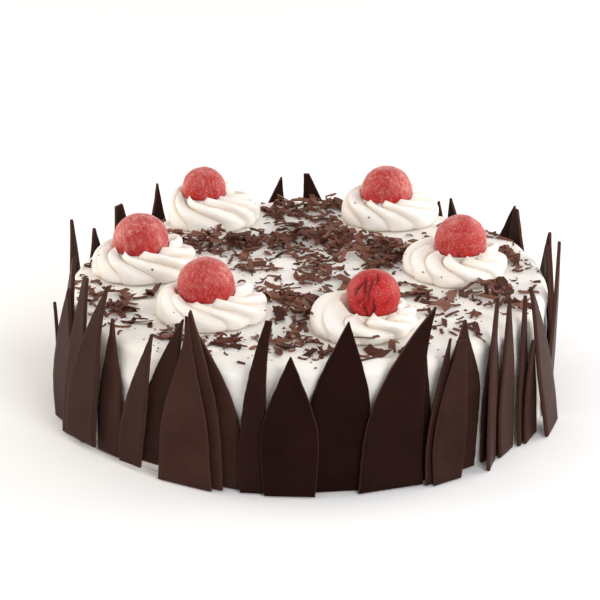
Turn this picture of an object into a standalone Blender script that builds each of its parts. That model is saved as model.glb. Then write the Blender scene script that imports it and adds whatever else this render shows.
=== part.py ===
"""A black forest cake: a creamed round cake, six rosettes with a cherry in each, and a fence of chocolate shards.

Sizes are in millimetres up to the point where a shape is made, and +Z is up. The origin is the middle of the cake's
base, the front is towards -Y, and azimuths run counterclockwise from +X, so that the front is at 270 degrees.
"""

import math
from typing import NamedTuple

import bmesh
import bpy
from mathutils import Vector

MM = 0.001  # metres in a millimetre
GAP = 0.3  # clearance between two pieces that touch
MERGE = 0.00001  # metres, merge distance on the axis of a turned shape

# The creamed cake
CAKE_RADIUS = 105.0
CAKE_HEIGHT = 55.0
CAKE_EDGE = 6.0  # rounding of the top edge
CAKE_STEPS = 64
TOP_SINK = 0.9  # deepest hollow of the spread cream on top
SIDE_SINK = 0.5  # deepest hollow of the spread cream round the side

# The piped rosettes
RIDGES = 8
RIDGE_DEPTH = 2.6  # depth of the valleys between two ridges, halfway up
PEAK = 3.0  # height of the ridges' tips over the valleys at the rim
FOOT_HEIGHT = 2.5  # height over the cake of a rosette's widest level
SLOPE_POWER = 0.8  # 1 for a slope like a quarter of an ellipse, less for a fuller one
TWIST = 60.0  # degrees that a ridge turns between base and rim
ROSETTE_STEPS = 40
SLOPE_ROWS = 5  # rings of points up the outer slope
BOWL_ROWS = 2  # rings of points down the hollow that holds the cherry
BOWL_GAP = 0.6  # clearance between a cherry and its hollow

# The cherries
CHERRY_SEGMENTS = 16
CHERRY_RINGS = 10
CHERRY_DENT = 0.05  # how far the skin dips in, as a share of the radius

# The chocolate shards
SHARD_THICKNESS = 1.7
SHARD_LIFT = 0.6  # height of a shard's foot over the base
SHARD_ROWS = 8  # levels of points on each side of an outline
BAND = 5.0  # height of the slices in which two shards are tested against each other
PUSH = 0.1  # step by which a shard moves out from the cake until it is clear


class Rosette(NamedTuple):
    """A rosette and its cherry: places and sizes in plan, and the heights of the rim and of the cherry's middle."""

    x: float
    y: float
    width: float
    depth: float
    rim: float
    cherry_x: float
    cherry_y: float
    cherry_z: float
    cherry_radius: float


class Shard(NamedTuple):
    """A pointed plate of chocolate that stands against the side of the cake.

    turn swings its lower-azimuth edge outwards, lean moves the tip towards higher azimuths, hook bends the outline
    from a leaf to a flame, blunt is the width of a cut tip, and tilt leans the plate's top towards the cake.
    """

    azimuth: float
    foot: float
    belly: float
    height: float
    lean: float = 0.0
    turn: float = 0.0
    hook: float = 0.3
    blunt: float = 0.6
    waist: float = 0.3  # height of the widest level, as a share of the whole
    lift: float = 0.0  # raises the foot further
    tilt: float = 0.0
    bend: float = 1.7  # how late the lean sets in


ROSETTES = (
    Rosette(-43, 74, 45, 40, 14.5, -47, 76, 69.8, 10.5),
    Rosette(-72, 11, 47, 47, 13.0, -73, 11, 68.5, 12.4),
    Rosette(-41, -45, 48, 48, 12.0, -43, -45, 68.5, 12.6),
    Rosette(39, 74, 48, 41, 14.0, 37, 73.5, 68.3, 12.2),
    Rosette(65, 5, 49, 49, 12.0, 67, 5, 69.0, 11.5),
    Rosette(23, -60, 48, 48, 10.0, 27, -60, 68.5, 11.4),
)

# Each shard stands clear of those before it, so the ones in front come later.
SHARDS = (
    # left side
    Shard(189, 20, 23, 81, lean=28, turn=4),
    Shard(197, 20, 24, 66, lean=10, turn=8),
    Shard(205, 16, 15, 78, lean=16, turn=8, blunt=3.5),
    Shard(210, 21, 21, 77, lean=24, turn=9, waist=0.2, hook=0.4, lift=2.5),
    Shard(218, 16, 15, 63, lean=5, turn=7, hook=0.5),
    # left of the front
    Shard(249.5, 20, 23, 74, lean=-13, turn=-2, hook=0.0, waist=0.4),
    Shard(246, 18, 18, 78, lean=-3, turn=-4),
    Shard(233, 18, 18, 68, lean=16, turn=2, lift=4),
    Shard(242, 26, 24, 77, lean=4, turn=-2, hook=0.9, waist=0.2),
    Shard(227, 12, 14, 64, lean=18, turn=-4, lift=2),
    Shard(257.5, 11, 11, 77, lean=8, turn=2, blunt=3, hook=0.5, bend=2.8),
    # front
    Shard(275.5, 24, 26, 74, lean=6, hook=0.2, waist=0.45),
    Shard(265.5, 21, 24, 61, lean=1, waist=0.4, hook=0.2),
    Shard(293, 16, 16, 62, lean=6),
    Shard(287.5, 28, 26, 78, lean=19, hook=0.1, waist=0.25, bend=2.4),
    # right of the front
    Shard(297, 8, 9, 62, lean=9, turn=8),
    Shard(305, 18, 22, 67, lean=3, turn=2, hook=0.6, waist=0.5),
    Shard(300, 14, 17, 61, lean=8, turn=4, blunt=3),
    Shard(315, 11, 11, 61, lean=3),
    Shard(312.5, 12, 12, 74, lean=3, turn=32),
    Shard(320, 13, 14, 69, lean=3, turn=12),
    Shard(327, 10, 10, 66, lean=2, turn=12),
    Shard(330, 14, 14, 46, lean=-2, turn=8),
    Shard(337, 20, 22, 69, lean=-12, turn=6, tilt=6),
    # right side and back
    Shard(350, 22, 23, 74, lean=6, tilt=-3),
    Shard(3, 21, 23, 64, lean=4),
    Shard(13, 20, 22, 66, lean=-4, turn=5),
    Shard(26, 20, 22, 67, lean=3, blunt=3),
    Shard(36, 19, 21, 66, lean=-10, turn=5),
    Shard(47, 20, 22, 60, lean=9),
    Shard(57, 20, 21, 57, lean=-3, turn=6),
    Shard(67, 19, 21, 59, lean=5),
    Shard(77, 20, 22, 57, lean=-4, turn=5),
    Shard(85.5, 19, 21, 66, lean=8, blunt=2.5),
    Shard(101, 20, 22, 64, lean=-9, turn=5),
    Shard(110, 21, 22, 58, lean=4),
    Shard(121, 20, 22, 60, lean=-5, turn=6),
    Shard(131, 19, 21, 70, lean=-2, hook=0.6),
    Shard(141, 18, 20, 65, lean=2, turn=6, blunt=5),
    Shard(151, 20, 22, 60, lean=3),
    Shard(161, 18, 19, 70, lean=2, turn=6),
    Shard(171, 20, 22, 57, lean=-3),
    Shard(180, 18, 19, 45, lean=3, turn=7),
)

CREAM_COLOUR = (0.90, 0.86, 0.80)
CHERRY_COLOUR = (0.50, 0.05, 0.05)
CHOCOLATE_COLOUR = (0.045, 0.022, 0.017)


def clear_scene():
    """Removes every object that a new file starts with."""
    for item in list(bpy.data.objects):
        bpy.data.objects.remove(item)


def collection_named(name):
    """A collection in the scene for the cake's pieces."""
    group = bpy.data.collections.new(name)
    bpy.context.scene.collection.children.link(group)
    return group


def plain_material(name, colour, roughness, subsurface=0.0):
    """A plain Principled material."""
    material = bpy.data.materials.new(name)
    material.use_nodes = True
    shader = material.node_tree.nodes["Principled BSDF"]
    shader.inputs["Base Color"].default_value = (*colour, 1.0)
    shader.inputs["Roughness"].default_value = roughness
    shader.inputs["Metallic"].default_value = 0.0
    shader.inputs["Subsurface Weight"].default_value = subsurface
    return material


def place(name, data, group, material, location=(0, 0, 0), rotation=(0, 0, 0)):
    """A named object in the cake's collection, at a place in millimetres."""
    item = bpy.data.objects.new(name, data)
    item.location = Vector(location) * MM
    item.rotation_euler = rotation
    group.objects.link(item)
    data.materials.append(material)
    return item


def turned(name, profile, steps, group, material, location=(0, 0, 0)):
    """A solid turned from a profile that runs from the axis down the outer side and back to the axis."""
    outline = bpy.data.meshes.new(name)
    points = [(radius * MM, 0.0, height * MM) for radius, height in profile]
    edges = [(i, i + 1) for i in range(len(points) - 1)]
    outline.from_pydata(points, edges, [])
    item = place(name, outline, group, material, location)
    screw = item.modifiers.new("Turn", "SCREW")
    screw.steps = steps
    screw.render_steps = steps
    screw.use_merge_vertices = True
    screw.merge_threshold = MERGE
    solid = bpy.data.meshes.new_from_object(item.evaluated_get(bpy.context.evaluated_depsgraph_get()))
    item.modifiers.clear()
    item.data = solid
    bpy.data.meshes.remove(outline)
    solid.name = name
    return item


def reshape(item, move):
    """Moves each vertex to where move(x, y, z), in millimetres about the object's origin, puts it."""
    for vertex in item.data.vertices:
        vertex.co = Vector(move(*(vertex.co / MM))) * MM
    item.data.update()
    item.data.shade_smooth()


def wave(*turns):
    """A smooth uneven value between 0 and 1, from the phases given, in radians."""
    return 0.5 + 0.5 * sum(math.sin(turn) for turn in turns) / len(turns)


# ---------------------------------------------------------------- the creamed cake


def cake_profile():
    """The cake's outline from the middle of its top to the middle of its base."""
    flat = CAKE_RADIUS - CAKE_EDGE
    profile = [(0, CAKE_HEIGHT), (flat * 0.35, CAKE_HEIGHT), (flat * 0.7, CAKE_HEIGHT)]
    for angle in (90, 60, 30, 0):
        turn = math.radians(angle)
        radius = flat + CAKE_EDGE * math.cos(turn)
        profile.append((radius, CAKE_HEIGHT - CAKE_EDGE + CAKE_EDGE * math.sin(turn)))
    return profile + [(CAKE_RADIUS, CAKE_HEIGHT / 2), (CAKE_RADIUS, 0), (0, 0)]


def spread(x, y, z):
    """Sinks the spread cream a little, unevenly, on the top and round the side, and leaves the base flat."""
    radius = math.hypot(x, y)
    angle = math.atan2(y, x)
    height_share = z / CAKE_HEIGHT
    dip = SIDE_SINK * wave(3 * angle, 5 * angle + 1.0, z / 14) * min(1.0, radius / CAKE_RADIUS)
    sink = TOP_SINK * wave(x / 31 + 0.4, y / 27, (x + y) / 45) * height_share**4
    inward = (radius - dip) / radius if radius > 1.0 else 1.0
    return x * inward, y * inward, z - sink


def cream_cake(group, material):
    """The round cake under its coat of cream."""
    item = turned("cream_cake", cake_profile(), CAKE_STEPS, group, material)
    reshape(item, spread)


# ---------------------------------------------------------------- the rosettes and cherries


def rosette_profile(rosette, rim_radius, bowl_radius, centre_height):
    """A rosette's outline: the hollow for the cherry, the rim, the slope down to the cake, and the foot."""
    outer = rosette.width / 2
    lowest = max(GAP + 0.3, centre_height - bowl_radius)
    rim_angle = math.asin((rosette.rim - centre_height) / bowl_radius)
    low_angle = -math.pi / 2
    profile = [(0, lowest)]
    for row in range(1, BOWL_ROWS + 1):
        angle = low_angle + (rim_angle - low_angle) * row / (BOWL_ROWS + 1)
        height = max(lowest, centre_height + bowl_radius * math.sin(angle))
        profile.append((bowl_radius * math.cos(angle), height))
    profile.append((rim_radius, rosette.rim))
    for row in range(1, SLOPE_ROWS + 1):
        share = row / SLOPE_ROWS
        turn = math.pi / 2 * share
        radius = rim_radius + (outer - rim_radius) * math.sin(turn) ** SLOPE_POWER
        height = FOOT_HEIGHT + (rosette.rim - FOOT_HEIGHT) * abs(math.cos(turn)) ** SLOPE_POWER
        profile.append((radius, height))
    return profile + [(outer * 0.95, GAP), (0, GAP)]


def ridge(angle, share):
    """How proud the ridges are, from 0 in a valley to 1 on a crest; share runs from the rim, 0, to the base, 1."""
    phase = RIDGES * (angle - math.radians(TWIST) * share) / 2
    return abs(math.cos(phase)) ** 0.8


def piped(rosette, rim_radius, bowl_radius):
    """A function that carves a turned rosette into twisted ridges and fits it round its cherry."""
    outer = rosette.width / 2
    offset_x = rosette.cherry_x - rosette.x
    offset_y = rosette.cherry_y - rosette.y

    def move(x, y, z):
        radius = math.hypot(x, y)
        angle = math.atan2(y, x)
        share = min(1.0, max(0.0, (radius - rim_radius) / (outer - rim_radius)))
        on_slope = z > 1.0 and (z > rosette.rim - 0.01 or radius > bowl_radius)
        sunk = (1 - ridge(angle, share)) if on_slope else 0.0
        lower = sunk * PEAK * (1 - share) ** 2
        inward = sunk * RIDGE_DEPTH * math.sin(math.pi * min(1.0, share + 0.12)) ** 0.7
        scale = (radius - inward) / radius if radius > 1.0 else 1.0
        squeeze = 1 + (rosette.depth / rosette.width - 1) * share
        return (
            x * scale + offset_x * (1 - share),
            y * scale * squeeze + offset_y * (1 - share),
            z - lower,
        )

    return move


def rosette_with_cherry(number, rosette, group, cream, red):
    """One piped rosette on the cake's top, and the cherry that sits in it."""
    centre_height = rosette.cherry_z - CAKE_HEIGHT
    bowl_radius = rosette.cherry_radius + BOWL_GAP
    rim_radius = math.sqrt(bowl_radius**2 - (rosette.rim - centre_height) ** 2)
    profile = rosette_profile(rosette, rim_radius, bowl_radius, centre_height)
    place_at = (rosette.x, rosette.y, CAKE_HEIGHT)
    item = turned(f"rosette_{number}", profile, ROSETTE_STEPS, group, cream, place_at)
    reshape(item, piped(rosette, rim_radius, bowl_radius))
    cherry(number, rosette, group, red)


def cherry(number, rosette, group, material):
    """A candied cherry: a ball with soft dents."""
    ball = bpy.data.meshes.new(f"cherry_{number}")
    shape = bmesh.new()
    bmesh.ops.create_uvsphere(
        shape,
        u_segments=CHERRY_SEGMENTS,
        v_segments=CHERRY_RINGS,
        radius=rosette.cherry_radius * MM,
    )
    shape.to_mesh(ball)
    shape.free()
    place_at = (rosette.cherry_x, rosette.cherry_y, rosette.cherry_z)
    item = place(f"cherry_{number}", ball, group, material, place_at)

    def dent(x, y, z):
        radius = rosette.cherry_radius
        dip = wave(5 * x / radius + number, 4 * y / radius - number, 6 * z / radius + 2 * number)
        scale = 1 - CHERRY_DENT * dip**2
        return x * scale, y * scale, z * scale

    reshape(item, dent)


# ---------------------------------------------------------------- the chocolate shards


def shard_level(shard, share):
    """The left and right edge of a shard, along its width, at a share of its height."""
    middle = shard.lean * share**shard.bend
    if share < shard.waist:
        swell = math.sin(math.pi / 2 * share / shard.waist)
        width = shard.foot + (shard.belly - shard.foot) * swell
    else:
        rise = (share - shard.waist) / (1 - shard.waist)
        leaf = 1 - rise**1.6
        flame = (1 + math.cos(math.pi * rise)) / 2
        taper = leaf * (1 - shard.hook) + flame * shard.hook
        width = shard.blunt + (shard.belly - shard.blunt) * taper
    return middle - width / 2, middle + width / 2


def shard_outline(shard):
    """The shard's outline, from its left foot up to the tip and down again, as (along, up) points."""
    levels = [(row / SHARD_ROWS) ** 0.9 for row in range(SHARD_ROWS + 1)]
    left = [(shard_level(shard, level)[0], level * shard.height) for level in levels]
    right = [(shard_level(shard, level)[1], level * shard.height) for level in levels]
    return left + right[::-1]


def shard_axes(shard):
    """Unit vectors along the plate's width and out of its face, in plan."""
    facing = math.radians(shard.azimuth + shard.turn)
    return Vector((-math.sin(facing), math.cos(facing))), Vector((math.cos(facing), math.sin(facing)))


def shard_bands(shard, distance):
    """The shard's slices at a distance from the cake's axis: each a number and its four corners in plan."""
    along, out = shard_axes(shard)
    around = math.radians(shard.azimuth)
    foot = Vector((math.cos(around), math.sin(around))) * distance
    half = SHARD_THICKNESS / 2
    slope = math.tan(math.radians(shard.tilt))
    bands = {}
    for number in range(math.ceil(shard.height / BAND)):
        low = min(1.0, number * BAND / shard.height)
        high = min(1.0, (number + 1) * BAND / shard.height)
        edges = [shard_level(shard, share) for share in (low, (low + high) / 2, high)]
        left = min(edge[0] for edge in edges)
        right = max(edge[1] for edge in edges)
        shifts = [-slope * share * shard.height for share in (low, high)]
        inner = min(shifts) - half
        outer = max(shifts) + half
        bands[number] = [
            foot + along * side + out * face
            for side, face in ((left, inner), (right, inner), (right, outer), (left, outer))
        ]
    return bands


def apart(first, second):
    """Whether two convex outlines in plan have at least the gap between them."""
    for corners in (first, second):
        for start, end in zip(corners, corners[1:] + corners[:1]):
            side = (end - start).normalized()
            normal = Vector((side.y, -side.x))
            near = max((point - start).dot(normal) for point in corners)
            far = min((point - start).dot(normal) for point in (second if corners is first else first))
            if far - near >= GAP:
                return True
    return False


def clear_of_cake(corners):
    """Whether a slice is outside the cake's side."""
    reach = CAKE_RADIUS + GAP
    for start, end in zip(corners, corners[1:] + corners[:1]):
        edge = end - start
        share = min(1.0, max(0.0, -start.dot(edge) / edge.length_squared))
        if (start + edge * share).length < reach:
            return False
    return True


def is_free(bands, seated):
    """Whether a shard's slices are clear of the cake and of every seated shard."""
    if not all(clear_of_cake(corners) for corners in bands.values()):
        return False
    for other in seated:
        for number in bands.keys() & other.keys():
            if not apart(bands[number], other[number]):
                return False
    return True


def seat(shards):
    """The distance from the axis at which each shard first clears the cake and the shards before it."""
    seated = []
    distances = []
    for shard in shards:
        distance = CAKE_RADIUS
        while not is_free(shard_bands(shard, distance), seated):
            distance += PUSH
        seated.append(shard_bands(shard, distance))
        distances.append(distance)
    return distances


def shard_plate(number, shard, distance, group, material):
    """A flat plate cut to a shard's outline and stood on its foot."""
    curve = bpy.data.curves.new(f"shard_{number:02d}", "CURVE")
    curve.dimensions = "2D"
    curve.fill_mode = "BOTH"
    curve.extrude = SHARD_THICKNESS / 2 * MM
    outline = shard_outline(shard)
    spline = curve.splines.new("POLY")
    spline.points.add(len(outline) - 1)
    for point, (along, up) in zip(spline.points, outline):
        point.co = (along * MM, up * MM, 0.0, 1.0)
    spline.use_cyclic_u = True
    around = math.radians(shard.azimuth)
    facing = math.radians(shard.azimuth + shard.turn)
    foot = (distance * math.cos(around), distance * math.sin(around), SHARD_LIFT + shard.lift)
    upright = math.pi / 2 - math.radians(shard.tilt)
    place(f"shard_{number:02d}", curve, group, material, foot, (upright, 0, facing + math.pi / 2))


def shard_fence(group, material):
    """The shards round the side of the cake, each against the cake or its neighbours."""
    for number, (shard, distance) in enumerate(zip(SHARDS, seat(SHARDS)), start=1):
        shard_plate(number, shard, distance, group, material)


def main():
    """Builds the cake."""
    clear_scene()
    group = collection_named("black_forest_cake")
    cream = plain_material("whipped_cream", CREAM_COLOUR, 0.55, subsurface=0.2)
    red = plain_material("candied_cherry", CHERRY_COLOUR, 0.3)
    chocolate = plain_material("dark_chocolate", CHOCOLATE_COLOUR, 0.4)
    cream_cake(group, cream)
    for number, rosette in enumerate(ROSETTES, start=1):
        rosette_with_cherry(number, rosette, group, cream, red)
    shard_fence(group, chocolate)


main()
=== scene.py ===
"""The looks of a black forest cake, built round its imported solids. Metres, +Z up, the cake's front towards -Y."""
import math

import bpy
import numpy as np
from mathutils import Matrix, Vector


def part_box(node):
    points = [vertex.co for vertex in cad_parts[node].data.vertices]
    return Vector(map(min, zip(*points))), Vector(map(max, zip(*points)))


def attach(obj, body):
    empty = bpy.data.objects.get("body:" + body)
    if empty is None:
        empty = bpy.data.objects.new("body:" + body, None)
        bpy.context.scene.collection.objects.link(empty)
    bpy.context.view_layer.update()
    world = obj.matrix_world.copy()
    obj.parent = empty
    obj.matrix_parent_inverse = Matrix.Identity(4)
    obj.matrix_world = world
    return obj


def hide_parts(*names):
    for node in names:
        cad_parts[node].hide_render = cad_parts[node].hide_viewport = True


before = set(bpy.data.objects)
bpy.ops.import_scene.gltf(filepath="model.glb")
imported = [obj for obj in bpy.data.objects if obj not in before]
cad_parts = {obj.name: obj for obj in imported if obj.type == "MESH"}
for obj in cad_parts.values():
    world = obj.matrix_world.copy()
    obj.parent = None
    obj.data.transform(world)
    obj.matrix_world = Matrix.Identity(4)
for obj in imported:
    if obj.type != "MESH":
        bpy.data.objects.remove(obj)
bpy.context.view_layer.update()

MM = 0.001
ROSETTE_NUMBERS = range(1, 7)
SHARD_NODES = sorted(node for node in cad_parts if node.startswith("shard_"))

# The camera: a long lens a good metre away, a little above the cake
CAMERA_DISTANCE = 1.3
CAMERA_ELEVATION = math.radians(21.2)
CAMERA_ROLL = math.radians(0.7)
CAMERA_AIM = Vector((-0.0035, 0.0, 0.0439))
CAMERA_LENS = 177.8

# The studio
WORLD_STRENGTH = 0.70
FLOOR_REACH = 6.0
FLOOR_LEVEL = -0.05 * MM  # just clear of the cake's underside

# The cream on the cake
CAKE_EDGE = 6.5 * MM
CAKE_STEPS = 300

# The rosettes
RIDGES = 9
TWIST = math.radians(60)
PEAK = 4.6 * MM  # height of a ridge's tip over the valleys beside it, at the cherry
VALLEY = 3.4 * MM  # depth of the valleys lower down
FOOT = 2.4 * MM  # height of a rosette's widest level
SLOPE_POWER = 0.8  # 1 for a slope like a quarter of an ellipse, less for a fuller one
BOWL_GAP = 0.25 * MM  # clearance between a rosette and its cherry
ROSETTE_LOWEST = 0.35 * MM  # height of the bottom of the bowl under a cherry, at least
ROSETTE_STEPS = 256
SLOPE_ROWS = 44
BOWL_ROWS = 8

# The cherries
CHERRY_ROWS = 72
CHERRY_STEPS = 128

# The shards
SHARD_COLUMNS = 10
SHARD_ROWS = 40
SHARD_ROUND = 0.32 * MM  # rounding of a shard's cut edge
SHARD_JAG = 0.12 * MM  # unevenness of its outline
PAINTED_SIDE_LIGHT = 0.9  # painted light: how much paler the shards at the sides are drawn than those at the front, 0 to 1
PAINTED_LIGHT_BEHIND = 0.3  # how much of that painted light the shards behind get
BEHIND = (5, 165)  # the azimuths of the shards behind, in degrees
FRONT = 276  # azimuth of the middle of the shards left dark, without painted light, in degrees
FRONT_HALF = 24  # how far they reach to either side, in degrees

# The shavings
CELL = 0.7 * MM  # grid of the heights on which shavings come to rest
FLAKE_TRIES = 9000
LARGE_FLAKES = 0.07  # share of the shavings that are large
HIGHEST_FLAKE = 7 * MM  # over the cake's top
FLAKE_MARGIN = 1.5 * MM  # nearest that the middle of a shaving comes to the cake's side
FLAKE_TONE = (0.5, 0.24)  # mean and spread of how light a shaving is, 0 to 1
CRUMBS = 900
CRUMB_MARGIN = 1.0 * MM
CRUMB_TONE = (0.35, 0.2)


# ---------------------------------------------------------------- helpers for shapes


def waves(points, size, seed, count=10):
    """A smooth random value round 0 at each point, with bumps about size apart; points is (..., 2) or (..., 3)."""
    random = np.random.default_rng(seed)
    total = np.zeros(points.shape[:-1])
    for _ in range(count):
        direction = random.normal(size=points.shape[-1])
        direction *= random.uniform(0.6, 1.5) * 2 * math.pi / (size * np.linalg.norm(direction))
        total += np.sin(points @ direction + random.uniform(0, 2 * math.pi))
    return total / math.sqrt(count / 2) / 2


def add_piece(name, points, faces, material, slot, smooth=True, **values):
    """A mesh piece that rides on the cake. Each of values gives every point a number that its material can read."""
    data = bpy.data.meshes.new(name)
    data.from_pydata(np.asarray(points).reshape(-1, 3).tolist(), [], faces)
    for value_name, numbers in values.items():
        layer = data.attributes.new(value_name, "FLOAT", "POINT")
        layer.data.foreach_set("value", np.asarray(numbers, np.float32).ravel())
    data.update()
    data.materials.append(material)
    data.polygons.foreach_set("use_smooth", [smooth] * len(data.polygons))
    item = bpy.data.objects.new(name, data)
    bpy.context.scene.collection.objects.link(item)
    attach(item, "root")
    return item


def ring_faces(rows, steps):
    """Faces of a closed skin: rings from the top one outwards and down, with a middle point at each end."""
    first = rows * steps
    faces = []
    for row in range(rows - 1):
        for step in range(steps):
            following = (step + 1) % steps
            a = row * steps
            b = a + steps
            faces.append((a + step, b + step, b + following, a + following))
    last = (rows - 1) * steps
    for step in range(steps):
        following = (step + 1) % steps
        faces.append((first, step, following))
        faces.append((first + 1, last + following, last + step))
    return faces


def closed_rings(rings):
    """The points of rings (rows, steps, 3), followed by the middle point of the first and of the last ring."""
    flat = rings.reshape(-1, 3)
    return np.vstack([flat, rings[0].mean(0), rings[-1].mean(0)])


# ---------------------------------------------------------------- materials


def new_material(name, colour, roughness):
    """A Principled material; returns it with its nodes, its links and its shader."""
    material = bpy.data.materials.new(name)
    material.use_nodes = True
    nodes = material.node_tree.nodes
    shader = nodes["Principled BSDF"]
    shader.inputs["Base Color"].default_value = (*colour, 1)
    shader.inputs["Roughness"].default_value = roughness
    return material, nodes, material.node_tree.links, shader


def noise_node(nodes, links, scale, detail, roughness=0.55):
    """A noise texture in object coordinates, with its scale in bumps a metre."""
    place = nodes.new("ShaderNodeTexCoord")
    noise = nodes.new("ShaderNodeTexNoise")
    noise.inputs["Scale"].default_value = scale
    noise.inputs["Detail"].default_value = detail
    noise.inputs["Roughness"].default_value = roughness
    links.new(place.outputs["Object"], noise.inputs["Vector"])
    return noise


def ramp_node(nodes, links, source, stops):
    """A colour ramp on a value: stops are (position, (r, g, b))."""
    ramp = nodes.new("ShaderNodeValToRGB")
    elements = ramp.color_ramp.elements
    while len(elements) < len(stops):
        elements.new(0.5)
    for element, (position, colour) in zip(elements, stops):
        element.position = position
        element.color = (*colour, 1)
    links.new(source, ramp.inputs["Fac"])
    return ramp


def mix_node(nodes, links, factor, first, second):
    """A colour mix by a socket's factor; first and second are sockets or colours."""
    mix = nodes.new("ShaderNodeMix")
    mix.data_type = "RGBA"
    for socket, value in ((mix.inputs[6], first), (mix.inputs[7], second)):
        if isinstance(value, tuple):
            socket.default_value = (*value, 1)
        else:
            links.new(value, socket)
    links.new(factor, mix.inputs[0])
    return mix.outputs[2]


def bump_node(nodes, links, shader, height, distance, strength):
    """Puts a bump of a real depth, in metres, on the shader."""
    bump = nodes.new("ShaderNodeBump")
    bump.inputs["Strength"].default_value = strength
    bump.inputs["Distance"].default_value = distance
    links.new(height, bump.inputs["Height"])
    links.new(bump.outputs["Normal"], shader.inputs["Normal"])


def value_node(nodes, name):
    """A number that add_piece gave to each point."""
    value = nodes.new("ShaderNodeAttribute")
    value.attribute_name = name
    return value.outputs["Fac"]


def cream_material():
    """Whipped cream: warm white and soft, lit a little from within, with warm painted shade where the rosettes mark
    their folds, hollows and foot.
    """
    material, nodes, links, shader = new_material("whipped_cream_look", (0.86, 0.82, 0.76), 0.5)
    blotch = noise_node(nodes, links, 45, 2.0)
    colour = ramp_node(
        nodes,
        links,
        blotch.outputs["Fac"],
        [(0.35, (0.82, 0.780, 0.72)), (0.65, (0.86, 0.83, 0.79))],
    )
    # painted shade: warm beige mixed into the cream where the rosettes mark their folds and hollows
    warm = mix_node(nodes, links, value_node(nodes, "warmth"), colour.outputs["Color"], (0.80, 0.69, 0.56))
    links.new(warm, shader.inputs["Base Color"])
    shader.inputs["Specular IOR Level"].default_value = 0.3
    shader.inputs["Subsurface Weight"].default_value = 0.3
    shader.inputs["Subsurface Radius"].default_value = (1.0, 0.7, 0.45)
    shader.inputs["Subsurface Scale"].default_value = 0.0015
    grain = noise_node(nodes, links, 900, 3.0)
    bump_node(nodes, links, shader, grain.outputs["Fac"], 0.00012, 0.5)
    return material


def cherry_material():
    """Candied cherry: deep red under a pale frosting in patches and paler higher up, with a painted sheen that pales
    it towards its outline and painted shade that darkens its creases.
    """
    material, nodes, links, shader = new_material("candied_cherry_look", (0.45, 0.05, 0.05), 0.4)
    blotch = noise_node(nodes, links, 500, 7.0, 0.8)
    speck = noise_node(nodes, links, 1500, 2.0, 0.6)
    # painted sheen: the skin is drawn paler where it turns away from the camera, towards its outline
    facing = nodes.new("ShaderNodeLayerWeight")
    facing.inputs["Blend"].default_value = 0.35
    total = nodes.new("ShaderNodeMath")
    total.operation = "ADD"
    links.new(blotch.outputs["Fac"], total.inputs[0])
    links.new(value_node(nodes, "frost"), total.inputs[1])
    sharp = nodes.new("ShaderNodeMath")
    sharp.operation = "POWER"
    sharp.inputs[1].default_value = 2.5
    links.new(facing.outputs["Facing"], sharp.inputs[0])
    rim = nodes.new("ShaderNodeMath")
    rim.operation = "MULTIPLY_ADD"
    rim.inputs[1].default_value = 0.5
    links.new(sharp.outputs["Value"], rim.inputs[0])
    links.new(total.outputs["Value"], rim.inputs[2])
    skin = ramp_node(
        nodes,
        links,
        rim.outputs["Value"],
        [
            (0.34, (0.40, 0.010, 0.010)),
            (0.52, (0.38, 0.026, 0.022)),
            (0.72, (0.45, 0.090, 0.080)),
            (0.95, (0.62, 0.25, 0.23)),
        ],
    )
    dots = ramp_node(nodes, links, speck.outputs["Fac"], [(0.60, (0.0, 0.0, 0.0)), (0.72, (0.5, 0.5, 0.5))])
    dotted = mix_node(nodes, links, dots.outputs["Color"], skin.outputs["Color"], (0.75, 0.45, 0.42))
    # painted shade: the creases are drawn dark red
    crease = mix_node(nodes, links, value_node(nodes, "tone"), (0.12, 0.0, 0.001), dotted)
    links.new(crease, shader.inputs["Base Color"])
    shader.inputs["Specular IOR Level"].default_value = 0.22
    shader.inputs["Subsurface Weight"].default_value = 0.15
    shader.inputs["Subsurface Radius"].default_value = (1.0, 0.2, 0.12)
    shader.inputs["Subsurface Scale"].default_value = 0.0015
    shader.inputs["Sheen Weight"].default_value = 0.12
    shader.inputs["Sheen Roughness"].default_value = 0.4
    shader.inputs["Sheen Tint"].default_value = (1.0, 0.7, 0.66, 1.0)
    bump_node(nodes, links, shader, blotch.outputs["Fac"], 0.0004, 0.6)
    return material


def shard_material():
    """Dark chocolate set flat: satin faces with faint clouds; painted light makes the shards at the sides paler, and a
    painted highlight makes the cut edges paler.
    """
    material, nodes, links, shader = new_material("dark_chocolate_look", (0.014, 0.006, 0.005), 0.4)
    cloud = noise_node(nodes, links, 60, 4.0, 0.6)
    face = ramp_node(
        nodes,
        links,
        cloud.outputs["Fac"],
        [(0.3, (0.0080, 0.0026, 0.0022)), (0.7, (0.0125, 0.0042, 0.0036))],
    )
    # the lit copy of the chocolate colour, for the painted light on the shards at the sides
    pale = ramp_node(
        nodes,
        links,
        cloud.outputs["Fac"],
        [(0.3, (0.034, 0.0145, 0.0110)), (0.7, (0.048, 0.0225, 0.0175))],
    )
    # painted light: shards at the sides take the lit copy, those at the front the dark one
    plate = mix_node(nodes, links, value_node(nodes, "pale"), face.outputs["Color"], pale.outputs["Color"])
    # painted highlight: the rounded cut edges are drawn paler brown
    colour = mix_node(nodes, links, value_node(nodes, "tone"), plate, (0.055, 0.025, 0.019))
    links.new(colour, shader.inputs["Base Color"])
    smear = noise_node(nodes, links, 240, 3.0)
    rough = nodes.new("ShaderNodeMapRange")
    rough.inputs["To Min"].default_value = 0.40
    rough.inputs["To Max"].default_value = 0.55
    links.new(smear.outputs["Fac"], rough.inputs["Value"])
    links.new(rough.outputs["Result"], shader.inputs["Roughness"])
    shader.inputs["Specular IOR Level"].default_value = 0.05
    shader.inputs["Specular Tint"].default_value = (1.0, 0.55, 0.45, 1.0)
    bump_node(nodes, links, shader, smear.outputs["Fac"], 0.0001, 0.4)
    return material


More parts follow.
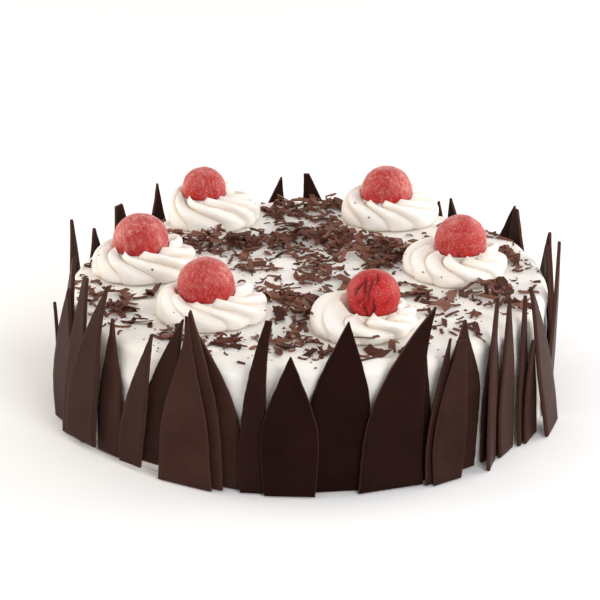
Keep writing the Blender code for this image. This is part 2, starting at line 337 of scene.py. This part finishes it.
def shaving_material():
    """Shaved chocolate: each shaving is a little lighter or darker than the next."""
    material, nodes, links, shader = new_material("chocolate_shavings_look", (0.12, 0.045, 0.03), 0.5)
    colour = ramp_node(
        nodes,
        links,
        value_node(nodes, "tone"),
        [(0.0, (0.040, 0.013, 0.009)), (0.5, (0.125, 0.048, 0.032)), (1.0, (0.24, 0.105, 0.07))],
    )
    links.new(colour.outputs["Color"], shader.inputs["Base Color"])
    shader.inputs["Specular IOR Level"].default_value = 0.15
    shader.inputs["Specular Tint"].default_value = (1.0, 0.75, 0.65, 1.0)
    grain = noise_node(nodes, links, 1200, 3.0)
    bump_node(nodes, links, shader, grain.outputs["Fac"], 0.0001, 0.5)
    return material


# ---------------------------------------------------------------- the creamed cake


def cream_top(x, y):
    """How far the spread cream's top stands over or under the top of its solid, in metres."""
    place = np.stack([x, y], -1)
    turned = np.stack([x * 0.8 + y * 0.6, (y * 0.8 - x * 0.6) * 0.25], -1)
    soft = waves(place, 60 * MM, 11) * 0.45 * MM
    strokes = waves(turned, 9 * MM, 12) * 0.16 * MM
    lumps = waves(place, 14 * MM, 13) * 0.14 * MM
    return soft + strokes + lumps - 0.4 * MM


def cream_cake(material):
    """The coat of cream: a round cake with a soft top edge, knife strokes and an uneven side."""
    low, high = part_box("cream_cake")
    radius = (high.x - low.x) / 2
    height = high.z
    flat = radius - CAKE_EDGE
    # Rings from the middle of the top down to the base: radius, height and how far each is on the side, 0 to 1
    profile = [(flat * share, height, 0.0) for share in np.linspace(0.015, 1.0, 64)]
    for turn in np.linspace(0, math.pi / 2, 13)[1:]:
        side = turn / (math.pi / 2)
        profile.append((flat + CAKE_EDGE * math.sin(turn), height - CAKE_EDGE * (1 - math.cos(turn)), side))
    for share in np.linspace(0, 1, 34)[1:]:
        profile.append((radius, (height - CAKE_EDGE) * (1 - share), 1.0))
    profile.append((radius - 2 * MM, 0.0, 1.0))
    angles = np.linspace(0, 2 * math.pi, CAKE_STEPS, endpoint=False)
    rings = []
    for ring_radius, ring_height, side in profile:
        x = ring_radius * np.cos(angles)
        y = ring_radius * np.sin(angles)
        z = np.full_like(x, ring_height)
        top = cream_top(x, y) * (1 - side)
        around = np.stack([np.cos(angles) * radius, np.sin(angles) * radius, z * 2.2], -1)
        long_around = np.stack([np.cos(angles) * radius * 0.4, np.sin(angles) * radius * 0.4, z], -1)
        swell = waves(around, 34 * MM, 21) * 0.5 * MM + waves(long_around, 8 * MM, 22) * 0.22 * MM - 0.5 * MM
        swell *= side * min(1.0, ring_height / (4 * MM) + 0.3)
        scale = (ring_radius + swell) / ring_radius
        edge_lump = waves(around, 22 * MM, 23) * 0.5 * MM * math.sin(math.pi * side) if side < 1 else 0.0
        rings.append(np.stack([x * scale, y * scale, z + top + edge_lump], -1))
    rings = np.array(rings)
    rings[..., 2] = np.where(rings[..., 2] < 0, 0, rings[..., 2])
    item = add_piece("cream_coat", closed_rings(rings), ring_faces(*rings.shape[:2]), material, "whipped_cream")
    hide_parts("cream_cake")


# ---------------------------------------------------------------- the rosettes


def rosette_shape(number):
    """A rosette's sizes, read from its solid and its cherry's."""
    low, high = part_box(f"rosette_{number}")
    cherry_low, cherry_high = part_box(f"cherry_{number}")
    return {
        "centre": np.array(((low + high) / 2).xy),
        "half": np.array(((high - low) / 2).xy),
        "foot": low.z,
        "rim": high.z - low.z,
        "cherry": np.array((cherry_low + cherry_high) / 2),
        "cherry_radius": max(cherry_high - cherry_low) / 2,
    }


def petal(phase, backs, share):
    """How proud each ridge is across its width: pointed at the cherry, round lower down, with a sharp valley."""
    turn = np.floor(phase)
    place = phase - turn
    tip = 1 - np.abs(2 * place**0.9 - 1)
    round_back = np.sin(math.pi * place**0.7) ** 0.8
    pointed = (1 - share) ** 4
    return (tip * pointed + round_back * (1 - pointed)) * backs[turn.astype(int) % RIDGES]


# A fat smooth fold on a rosette: azimuth and half width in degrees, rise and how far it stands off the cherry, in mm
FOLDS = {1: (160, 30, 0.5, 0.5), 3: (188, 42, 1.2, 1.2), 6: (165, 48, 3.2, 3.4)}
NO_FOLD = (0, 1, 0, 0)


def rosette(number, material):
    """A piped rosette: ridges that wind up from the cake and end in points round the cherry."""
    shape = rosette_shape(number)
    random = np.random.default_rng(100 + number)
    angles = np.linspace(0, 2 * math.pi, ROSETTE_STEPS, endpoint=False)
    circle = np.stack([np.cos(angles), np.sin(angles)], -1)
    bowl_radius = shape["cherry_radius"] + BOWL_GAP
    centre_height = shape["cherry"][2] - shape["foot"]
    rim = shape["rim"] - 0.2 * MM
    rim_radius = math.sqrt(max(bowl_radius**2 - (rim - centre_height) ** 2, (0.6 * bowl_radius) ** 2))
    outer = float(shape["half"][0])
    bulge = 0.965 + 0.03 * np.sin(2 * angles + random.uniform(0, 6)) + 0.02 * np.sin(3 * angles + random.uniform(0, 6))
    squeeze = np.array([1.0, shape["half"][1] / outer])
    offset = shape["cherry"][:2] - shape["centre"]
    fold_azimuth, fold_width, fold_rise, fold_gap = FOLDS.get(number, NO_FOLD)
    away = (np.degrees(angles) - fold_azimuth + 180) % 360 - 180
    fold = np.exp(-((away / fold_width) ** 2)) if number in FOLDS else np.zeros(ROSETTE_STEPS)
    turn = TWIST * random.uniform(0.9, 1.12)
    start = random.uniform(0, 2 * math.pi)
    wobble = sum(
        random.uniform(0.04, 0.11) * np.sin(order * angles + random.uniform(0, 2 * math.pi)) for order in (1, 2, 3)
    )
    backs = random.uniform(0.75, 1.15, RIDGES)
    strength = (1 - 0.8 * fold) * (1 + 0.1 * np.sin(3 * angles + 2 * start))
    rings = []
    # how much warm painted shade each point gets: in the bowl under the cherry, in the valleys between ridges, in a
    # fold's hollow and at the foot
    warmth = []
    rim_angle = math.asin(max(-1.0, min(1.0, (rim - centre_height) / bowl_radius)))
    for row in range(1, BOWL_ROWS + 1):
        level = -math.pi / 2 + (rim_angle + math.pi / 2) * row / (BOWL_ROWS + 1)
        part = (row / (BOWL_ROWS + 1)) ** 2
        radius = bowl_radius * math.cos(level) + fold * fold_gap * MM * part
        z = np.full(ROSETTE_STEPS, max(ROSETTE_LOWEST, centre_height + bowl_radius * math.sin(level)))
        rings.append(np.column_stack([circle * radius[:, None] + offset, z]))
        warmth.append(np.full(ROSETTE_STEPS, 0.8))
    for row in range(SLOPE_ROWS + 1):
        share = (row / SLOPE_ROWS) ** 1.15
        bend = math.pi / 2 * share
        fullness = math.sin(bend) ** SLOPE_POWER
        base_radius = rim_radius + (outer * bulge - rim_radius) * fullness + fold * fold_gap * MM * (1 - fullness)
        base_height = FOOT + (rim - FOOT) * abs(math.cos(bend)) ** SLOPE_POWER
        base_height = base_height + fold * fold_rise * MM * math.cos(bend) ** 0.5
        phase = RIDGES * (angles + wobble - turn * share - start) / (2 * math.pi)
        sunk = (1 - petal(phase, backs, share)) * strength
        lower = sunk * PEAK * (1 - share) ** 1.5
        inward = sunk * VALLEY * math.sin(math.pi * (0.12 + 0.72 * share)) ** 0.8
        radius = np.maximum(base_radius - inward, rim_radius * 0.97)
        z = np.maximum(base_height - lower - inward * 0.3 * (1 - share), 0.6 * MM)
        flat = circle * radius[:, None] * (1 + (squeeze - 1) * share) + offset * (1 - fullness)
        rings.append(np.column_stack([flat, z]))
        # painted shade: deepest in the valleys and in the hollow under a fat fold
        warmth.append(np.clip(sunk, 0, 1) ** 1.3 * (0.75 - 0.35 * share) + fold * 0.8 * (1 - share) ** 8)
    for scale, z in ((0.985, 0.9 * MM), (0.95, 0.0)):
        ring = rings[BOWL_ROWS + SLOPE_ROWS].copy()
        ring[:, :2] *= scale
        ring[:, 2] = z
        rings.append(ring)
        warmth.append(np.full(ROSETTE_STEPS, 0.3))
    rings = np.array(rings)
    bumps = waves(rings, 7 * MM, 200 + number) * 0.14 * MM
    rings[BOWL_ROWS + 1 : -1, :, 2] += bumps[BOWL_ROWS + 1 : -1]
    rings[..., :2] += shape["centre"]
    rings[..., 2] += shape["foot"]
    points = closed_rings(rings)
    warm = np.append(np.clip(np.concatenate(warmth), 0, 1), [0.8, 0.3])
    faces = ring_faces(*rings.shape[:2])
    item = add_piece(f"piped_rosette_{number}", points, faces, material, "whipped_cream", warmth=warm)
    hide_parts(f"rosette_{number}")
    return points


# ---------------------------------------------------------------- the cherries

# Creases in a cherry's skin: azimuth and elevation of the middle, half length and slant, in degrees, and depth
CREASES = {
    1: ((300, -5, 25, 10, 0.5),),
    2: ((250, 0, 30, -12, 0.5),),
    3: ((262, -30, 30, 8, 0.7), (300, 10, 25, -5, 0.3)),
    4: ((265, 20, 25, 5, 0.4),),
    5: ((262, -22, 28, 6, 1.1), (225, 5, 20, -8, 0.4)),
    6: (  # the shrivelled one
        (228, 32, 24, 14, 1.8),
        (246, 40, 30, -6, 2.4),
        (260, 30, 34, 8, 2.2),
        (284, 58, 18, 12, 1.5),
        (252, -14, 24, -10, 2.0),
        (268, -10, 28, 6, 1.9),
        (238, 4, 12, 40, 1.2),
        (300, 6, 14, 50, 0.9),
    ),
}

FROSTS = {1: 0.01, 2: 0.06, 3: 0.02, 4: 0.01, 5: 0.0, 6: -0.25}  # how much pale frosting each cherry has


def cherry(number, material):
    """A candied cherry: not quite round, finely wrinkled, with a few creases."""
    shape = rosette_shape(number)
    radius = shape["cherry_radius"]
    rows, steps = CHERRY_ROWS, CHERRY_STEPS
    level = np.linspace(math.pi / 2, -math.pi / 2, rows + 2)[1:-1]
    angle = np.linspace(0, 2 * math.pi, steps, endpoint=False)
    level, angle = np.meshgrid(level, angle, indexing="ij")
    way = np.stack([np.cos(level) * np.cos(angle), np.cos(level) * np.sin(angle), np.sin(level)], -1)
    size = 1 - 0.012 + 0.016 * waves(way, 1.6, 310 + number)
    size += 0.008 * waves(way, 0.5, 320 + number) + 0.005 * waves(way, 0.16, 330 + number)
    size += 0.0035 * waves(way * (1, 1, 0.3), 0.13, 350 + number)
    tone = np.full(size.shape, 1.0)
    frost = FROSTS[number] + 0.16 * np.sin(level) + 0.10 * waves(way, 0.9, 340 + number)
    frost += 0.10 * waves(way * (1, 1, 0.3), 0.14, 360 + number)
    for azimuth, elevation, length, slant, depth in CREASES[number]:
        around = (np.degrees(angle) - azimuth + 180) % 360 - 180
        around = around * np.cos(level) - np.tan(np.radians(slant)) * (np.degrees(level) - elevation)
        around += 2.5 * waves(way, 0.35, int(azimuth) + number)
        along = (np.degrees(level) - elevation) / length
        groove = np.exp(-((around / 3.6) ** 2)) * np.clip(1 - along**2, 0, 1)
        size -= groove * depth * 0.026
        # painted shade: the grooves are marked to be drawn dark red
        tone -= groove * min(1.2, depth * 0.7)
    stretch = np.array([1.0, 1.0, 1.03 if number == 6 else 1.0])
    rings = way * (size * radius)[..., None] * stretch + shape["cherry"]
    points = closed_rings(rings)
    tones = np.append(np.clip(tone, 0, 1).ravel(), [1, 1])
    frosts = np.append(frost.ravel(), frost[[0, -1]].mean(1))
    faces = ring_faces(rows, steps)
    name = f"candied_cherry_{number}"
    item = add_piece(name, points, faces, material, "candied_cherry", tone=tones, frost=frosts)
    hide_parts(f"cherry_{number}")


# ---------------------------------------------------------------- the chocolate shards


def shard_frame(node):
    """A shard's middle, axes (along, up, out), outline levels (up, left, right) and thickness, from its solid."""
    points = np.array([vertex.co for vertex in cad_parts[node].data.vertices], float)
    middle = points.mean(0)
    axes = np.linalg.svd(points - middle, full_matrices=False)[2]
    out = axes[2]
    if out[:2] @ middle[:2] < 0:
        out = -out
    up = np.array([0.0, 0.0, 1.0]) - out * out[2]
    up /= np.linalg.norm(up)
    along = np.cross(up, out)
    local = (points - middle) @ np.array([along, up, out]).T
    thickness = local[:, 2].max() - local[:, 2].min()
    face = local[local[:, 2] > 0]
    levels = []
    for height in sorted(set(np.round(face[:, 1], 5))):
        side = face[np.abs(face[:, 1] - height) < 2e-5, 0]
        levels.append((height, side.min(), side.max()))
    return middle, np.array([along, up, out]), np.array(levels), thickness


def shard(node, material):
    """A chocolate shard: a thin plate with softly rounded cut edges, gently bent and a little wavy."""
    middle, axes, levels, thickness = shard_frame(node)
    number = int(node[-2:])
    random = np.random.default_rng(400 + number)
    low, high = levels[0, 0], levels[-1, 0]
    shares = np.linspace(0, 1, SHARD_ROWS + 1) ** 0.92
    heights = low + (high - low) * shares
    left = np.interp(heights, levels[:, 0], levels[:, 1])
    right = np.interp(heights, levels[:, 0], levels[:, 2])
    for _ in range(2):
        left[1:-1] = (left[:-2] + 2 * left[1:-1] + left[2:]) / 4
        right[1:-1] = (right[:-2] + 2 * right[1:-1] + right[2:]) / 4
    left += waves(np.column_stack([heights, heights * 0]), 7 * MM, 410 + number) * SHARD_JAG
    right += waves(np.column_stack([heights, heights * 0]), 7 * MM, 460 + number) * SHARD_JAG
    half = thickness / 2 * random.uniform(0.86, 1.0)
    bow = random.uniform(-0.25, 0.35) * MM
    curl = random.uniform(-1.2, 1.6) * MM
    edge = np.minimum(SHARD_ROUND, (right - left) * 0.3)

    def sheet(side):
        """One face of the plate, with its border drawn in and its edges rounded."""
        across = np.linspace(0, 1, SHARD_COLUMNS + 1)
        inset = edge[:, None]
        u = (left[:, None] + inset) + (right - left - 2 * edge)[:, None] * across
        v = np.repeat(heights[:, None], SHARD_COLUMNS + 1, 1)
        v[0] += SHARD_ROUND
        v[-1] -= SHARD_ROUND
        w = np.full_like(u, side * half)
        return np.stack([u, v, w], -1)

    faces = []
    front, back = sheet(1), sheet(-1)
    rows, columns = front.shape[:2]
    per_face = rows * columns

    def index(layer, row, column):
        return layer * per_face + row * columns + column

    for row in range(rows - 1):
        for column in range(columns - 1):
            a, b = index(0, row, column), index(0, row, column + 1)
            c, d = index(0, row + 1, column + 1), index(0, row + 1, column)
            faces.append((a, b, c, d))
            faces.append((a + per_face, d + per_face, c + per_face, b + per_face))
    border = (
        [(0, column) for column in range(columns)]
        + [(row, columns - 1) for row in range(1, rows)]
        + [(rows - 1, column) for column in range(columns - 2, -1, -1)]
        + [(row, 0) for row in range(rows - 2, 0, -1)]
    )
    rim_u, rim_v = [], []
    for row, column in border:
        u = front[row, column, 0]
        v = front[row, column, 1]
        if column == 0:
            u = left[row]
        elif column == columns - 1:
            u = right[row]
        if row == 0:
            v = heights[0]
        elif row == rows - 1:
            v = heights[-1]
        rim_u.append(u)
        rim_v.append(v)
    rim_u, rim_v = np.array(rim_u), np.array(rim_v)
    flat = half - SHARD_ROUND
    rim_front = np.column_stack([rim_u, rim_v, np.full(len(border), flat)])
    rim_back = np.column_stack([rim_u, rim_v, np.full(len(border), -flat)])
    start_front = 2 * per_face
    start_back = start_front + len(border)
    for step, (row, column) in enumerate(border):
        following = (step + 1) % len(border)
        next_row, next_column = border[following]
        a, b = index(0, row, column), index(0, next_row, next_column)
        c, d = index(1, row, column), index(1, next_row, next_column)
        faces.append((a, start_front + step, start_front + following, b))
        faces.append((start_front + step, start_back + step, start_back + following, start_front + following))
        faces.append((start_back + step, c, d, start_back + following))
    local = np.vstack([front.reshape(-1, 3), back.reshape(-1, 3), rim_front, rim_back])
    # painted highlight: the rounded cut edges are marked to be drawn paler
    tones = np.zeros(len(local))
    tones[start_front:] = 1.0
    share = np.clip((local[:, 1] - low) / (high - low), 0, 1)
    width = max(right - left)
    local[:, 2] += bow * (local[:, 0] / width) ** 2 * 4 + curl * share**4
    local[:, 2] += waves(local[:, :2], 45 * MM, 500 + number) * 0.16 * MM
    points = middle + local @ axes
    azimuth = math.degrees(math.atan2(middle[1], middle[0])) % 360
    # painted light: shards away from the front are drawn paler, those behind less so
    paleness = PAINTED_SIDE_LIGHT * (1 - math.exp(-(((azimuth - FRONT) / FRONT_HALF) ** 4))) * random.uniform(0.75, 1.1)
    if BEHIND[0] < azimuth < BEHIND[1]:
        paleness *= PAINTED_LIGHT_BEHIND
    pales = np.full(len(local), paleness)
    item = add_piece(f"chocolate_{node}", points, faces, material, "dark_chocolate", tone=tones, pale=pales)
    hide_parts(node)


# ---------------------------------------------------------------- the shavings


def height_grid(rosette_points):
    """Heights over the cake's top on a square grid: the spread cream, with the rosettes' skirts on it."""
    low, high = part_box("cream_cake")
    reach = high.x
    count = int(2 * reach / CELL) + 1
    line = (np.arange(count) + 0.5) * CELL - reach
    x, y = np.meshgrid(line, line, indexing="ij")
    grid = high.z + cream_top(x, y)
    beyond = np.hypot(x, y) - (reach - CAKE_EDGE)
    grid -= np.where(beyond > 0, CAKE_EDGE - np.sqrt(np.clip(CAKE_EDGE**2 - beyond**2, 0, None)), 0)
    for points in rosette_points:
        cells = ((points[:, :2] + reach) / CELL).astype(int)
        inside = np.all((cells >= 0) & (cells < count), 1)
        np.maximum.at(grid, tuple(cells[inside].T), points[inside, 2])
    return grid, reach


# Where shavings lie thick, in millimetres: x, y, half width in x and in y, and how thick
HEAPS = (
    (-48, 42, 12, 9, 1.4),
    (-28, 44, 14, 8, 1.3),
    (0, 49, 14, 6, 1.3),
    (14, 39, 10, 7, 1.2),
    (-10, 36, 12, 6, 0.8),
    (36, 30, 9, 9, 1.2),
    (24, 48, 10, 6, 0.3),
    (2, 60, 16, 5, 0.5),
    (12, 72, 7, 5, 0.5),
    (0, 72, 14, 6, 0.25),
    (-8, 84, 10, 7, 1.2),
    (12, 92, 9, 6, 1.0),
    (4, 12, 8, 8, 1.0),
    (36, 14, 8, 10, 0.8),
    (-24, 15, 8, 8, 0.55),
    (-10, 24, 16, 6, 0.3),
    (4, -1, 9, 7, 0.5),
    (-14, -12, 8, 6, 0.2),
    (-10, -26, 6, 6, 0.6),
    (-2, -36, 10, 10, 0.9),
    (-10, -48, 6, 6, 0.5),
    (0, -62, 8, 14, 0.65),
    (-16, -76, 14, 8, 0.4),
    (-36, -76, 16, 7, 0.45),
    (-60, -66, 10, 8, 0.35),
    (-84, -38, 10, 12, 0.6),
    (-93, -14, 7, 10, 0.35),
    (-96, 6, 6, 12, 0.3),
    (48, -24, 7, 7, 0.4),
    (74, -24, 8, 7, 0.55),
    (84, -38, 8, 8, 0.3),
    (54, -48, 10, 7, 0.4),
    (64, -66, 14, 9, 0.25),
    (20, -90, 20, 8, 0.4),
    (92, 14, 8, 14, 0.5),
    (84, 46, 8, 6, 0.25),
)
THIN = 0.05  # the scatter everywhere else


def thickness_at(x, y):
    """How thickly shavings lie at a place, 0 to 1."""
    total = THIN
    for heap_x, heap_y, wide, deep, much in HEAPS:
        total += much * math.exp(-(((x / MM - heap_x) / wide) ** 2 + ((y / MM - heap_y) / deep) ** 2))
    return total


def on_rosette(shapes, points, share):
    """Whether any point (..., 2) is on a rosette, inside a share of its width."""
    for shape in shapes:
        if np.any(np.linalg.norm((points - shape["centre"]) / shape["half"], axis=-1) < share):
            return True
    return False


def flake_sheet(random, length, width):
    """A shaving laid flat at the origin, (u, v, w): a torn strip that may curl up or down along its length."""
    u, v = np.meshgrid(np.linspace(-0.5, 0.5, 5) * length, np.linspace(-0.5, 0.5, 3) * width, indexing="ij")
    u += random.normal(0, 0.10, u.shape) * width
    v *= 1 + random.normal(0, 0.14, u.shape)
    v += random.uniform(-0.5, 0.5) * u**2 / length
    curl = random.choice([0.1, 0.5, 1.2, 2.2], p=[0.35, 0.4, 0.17, 0.08]) * random.uniform(0.5, 1.2) * MM
    w = random.choice([-1, 1]) * min(curl, 0.25 * length) * (1 - 4 * (u / length) ** 2)
    w += random.uniform(-0.4, 0.4) * v
    return u, v, w


def height_at(grid, reach, x, y):
    """Height of the grid at a place."""
    last = len(grid) - 1
    return grid[min(last, max(0, int((x + reach) / CELL))), min(last, max(0, int((y + reach) / CELL)))]


def rest_on(grid, reach, points, thickness):
    """Moves a sheet of points up or down until it rests on the heights, and returns the cells under it."""
    cells = np.clip(((points[..., :2] + reach) / CELL).astype(int), 0, len(grid) - 1)
    under = grid[cells[..., 0], cells[..., 1]]
    points[..., 2] += (under - points[..., 2]).max() + thickness * 0.6
    return cells


def slab(points, thickness):
    """A thin closed slab under a sheet of points (rows, columns, 3): its points and faces."""
    rows, columns = points.shape[:2]
    count = rows * columns
    lower = points.copy()
    lower[..., 2] -= thickness
    faces = []
    for row in range(rows - 1):
        for column in range(columns - 1):
            a = row * columns + column
            b, c, d = a + columns, a + columns + 1, a + 1
            faces.append((a, b, c, d))
            faces.append((a + count, d + count, c + count, b + count))
    border = (
        list(range(columns))
        + [row * columns + columns - 1 for row in range(1, rows)]
        + [(rows - 1) * columns + column for column in range(columns - 2, -1, -1)]
        + [row * columns for row in range(rows - 2, 0, -1)]
    )
    for a, b in zip(border, border[1:] + border[:1]):
        faces.append((a, b, b + count, a + count))
    return np.vstack([points.reshape(-1, 3), lower.reshape(-1, 3)]), faces


def shavings(rosette_points, material):
    """Shaved chocolate on top: flakes and strips that came to rest on the cream and on each other.

    Returns the heights with the shavings on them, the reach of their grid and the rosettes' sizes, for the crumbs.
    """
    random = np.random.default_rng(7)
    grid, reach = height_grid(rosette_points)
    top = grid[len(grid) // 2, len(grid) // 2]
    shapes = [rosette_shape(number) for number in ROSETTE_NUMBERS]
    limit = reach - FLAKE_MARGIN
    all_points, all_faces, all_tones = [], [], []
    count = 0
    for _ in range(FLAKE_TRIES):
        x, y = random.uniform(-limit, limit, 2)
        if math.hypot(x, y) > limit or random.uniform() > thickness_at(x, y):
            continue
        if random.uniform() < LARGE_FLAKES:
            length = random.uniform(7, 13) * MM
            width = length * random.uniform(0.2, 0.42)
        else:
            length = min(11.0, random.lognormal(1.45, 0.42)) * MM
            width = max(0.6 * MM, length * random.uniform(0.12, 0.42))
        thickness = random.uniform(0.3, 0.6) * MM
        u, v, w = flake_sheet(random, length, width)
        turn = random.uniform(0, 2 * math.pi)
        along = np.array([math.cos(turn), math.sin(turn)])
        far = height_at(grid, reach, *(np.array([x, y]) + along * length / 2))
        near = height_at(grid, reach, *(np.array([x, y]) - along * length / 2))
        slope = max(-0.7, min(0.7, (far - near) / length + random.normal(0, 0.1)))
        flat = np.stack([x + u * along[0] - v * along[1], y + u * along[1] + v * along[0]], -1)
        if np.linalg.norm(flat, axis=-1).max() > reach - 0.8 * MM or on_rosette(shapes, flat, 0.96):
            continue
        points = np.concatenate([flat, (w + u * slope)[..., None]], -1)
        cells = rest_on(grid, reach, points, thickness)
        if points[..., 2].max() > top + HIGHEST_FLAKE:
            continue
        np.maximum.at(grid, (cells[..., 0], cells[..., 1]), points[..., 2] - 0.1 * MM)
        slab_points, slab_faces = slab(points, thickness)
        all_faces += [tuple(corner + count for corner in face) for face in slab_faces]
        all_points.append(slab_points)
        all_tones.append(np.full(len(slab_points), np.clip(random.normal(*FLAKE_TONE), 0, 1)))
        count += len(slab_points)
    tones = np.concatenate(all_tones)
    add_piece("shaved_flakes", np.vstack(all_points), all_faces, material, "dark_chocolate", False, tone=tones)
    return grid, reach, shapes


def crumbs(grid, reach, shapes, material):
    """Fine chocolate crumbs, thickest where the shavings are, with a few on the rosettes' skirts."""
    random = np.random.default_rng(8)
    limit = reach - CRUMB_MARGIN
    corners = np.array([(1, 0, 0), (0, 1, 0), (-1, 0, 0), (0, -1, 0), (0, 0, 1), (0, 0, -1)], float)
    sides = [(0, 1, 4), (1, 2, 4), (2, 3, 4), (3, 0, 4), (1, 0, 5), (2, 1, 5), (3, 2, 5), (0, 3, 5)]
    all_points, all_faces, all_tones = [], [], []
    while len(all_points) < CRUMBS:
        x, y = random.uniform(-limit, limit, 2)
        if math.hypot(x, y) > limit or random.uniform() > 0.15 + thickness_at(x, y):
            continue
        if on_rosette(shapes, np.array([x, y]), 0.88):
            continue
        size = random.lognormal(-0.95, 0.4) * MM
        shape = corners * size * random.uniform(0.5, 1.3, (6, 3)) * (1, 1, 0.7)
        turned = shape @ np.array(Matrix.Rotation(random.uniform(0, 2 * math.pi), 3, "Z"))
        all_faces += [tuple(corner + 6 * len(all_points) for corner in face) for face in sides]
        all_points.append(turned + (x, y, height_at(grid, reach, x, y) + size * 0.3))
        all_tones.append(np.full(6, np.clip(random.normal(*CRUMB_TONE), 0, 1)))
    tones = np.concatenate(all_tones)
    add_piece("chocolate_crumbs", np.vstack(all_points), all_faces, material, "dark_chocolate", False, tone=tones)


# ---------------------------------------------------------------- the studio


def camera():
    """The camera, in front of the cake and a little above it."""
    back = Vector((0, -math.cos(CAMERA_ELEVATION), math.sin(CAMERA_ELEVATION)))
    up = Vector((0, math.sin(CAMERA_ELEVATION), math.cos(CAMERA_ELEVATION)))
    right = Vector((1, 0, 0))
    rolled_right = right * math.cos(CAMERA_ROLL) - up * math.sin(CAMERA_ROLL)
    rolled_up = right * math.sin(CAMERA_ROLL) + up * math.cos(CAMERA_ROLL)
    data = bpy.data.cameras.new("camera")
    data.lens = CAMERA_LENS
    data.sensor_width = 36
    data.clip_start = 0.01
    item = bpy.data.objects.new("camera", data)
    bpy.context.scene.collection.objects.link(item)
    turned = Matrix((rolled_right, rolled_up, back)).transposed().to_4x4()
    item.matrix_world = Matrix.Translation(CAMERA_AIM + back * CAMERA_DISTANCE) @ turned
    bpy.context.scene.camera = item


def softbox(name, place, size, power, colour=(1, 1, 1)):
    """A rectangular softbox that faces the cake."""
    data = bpy.data.lights.new(name, "AREA")
    data.shape = "RECTANGLE"
    data.size, data.size_y = size
    data.energy = power
    data.color = colour
    item = bpy.data.objects.new(name, data)
    item.location = place
    item.rotation_euler = (Vector((0, 0, 0.04)) - Vector(place)).to_track_quat("-Z", "Y").to_euler()
    bpy.context.scene.collection.objects.link(item)


def studio():
    """A white floor under a white world, with softboxes at both sides and one at the front right."""
    softbox("left_box", (-0.95, 0.25, 0.33), (0.9, 0.6), 8, (1.0, 0.86, 0.72))
    softbox("right_box", (0.95, 0.25, 0.33), (0.9, 0.6), 8, (1.0, 0.94, 0.9))
    softbox("front_box", (0.5, -1.1, 0.6), (0.6, 0.45), 9)
    world = bpy.data.worlds.new("studio")
    world.use_nodes = True
    world.node_tree.nodes["Background"].inputs["Color"].default_value = (1, 1, 1, 1)
    world.node_tree.nodes["Background"].inputs["Strength"].default_value = WORLD_STRENGTH
    bpy.context.scene.world = world
    bpy.context.scene.view_settings.view_transform = "Standard"
    material = new_material("floor_look", (0.93, 0.93, 0.93), 0.9)[0]
    data = bpy.data.meshes.new("floor")
    corners = [(x * FLOOR_REACH, y * FLOOR_REACH, FLOOR_LEVEL) for x, y in ((-1, -1), (1, -1), (1, 1), (-1, 1))]
    data.from_pydata(corners, [], [(0, 1, 2, 3)])
    data.materials.append(material)
    floor = bpy.data.objects.new("floor", data)
    bpy.context.scene.collection.objects.link(floor)


camera()
studio()
cream = cream_material()
red = cherry_material()
dark = shard_material()
shaved = shaving_material()
cream_cake(cream)
rosette_skins = [rosette(number, cream) for number in ROSETTE_NUMBERS]
for number in ROSETTE_NUMBERS:
    cherry(number, red)
for node in SHARD_NODES:
    shard(node, dark)
top_grid, top_reach, top_shapes = shavings(rosette_skins, shaved)
crumbs(top_grid, top_reach, top_shapes, shaved)
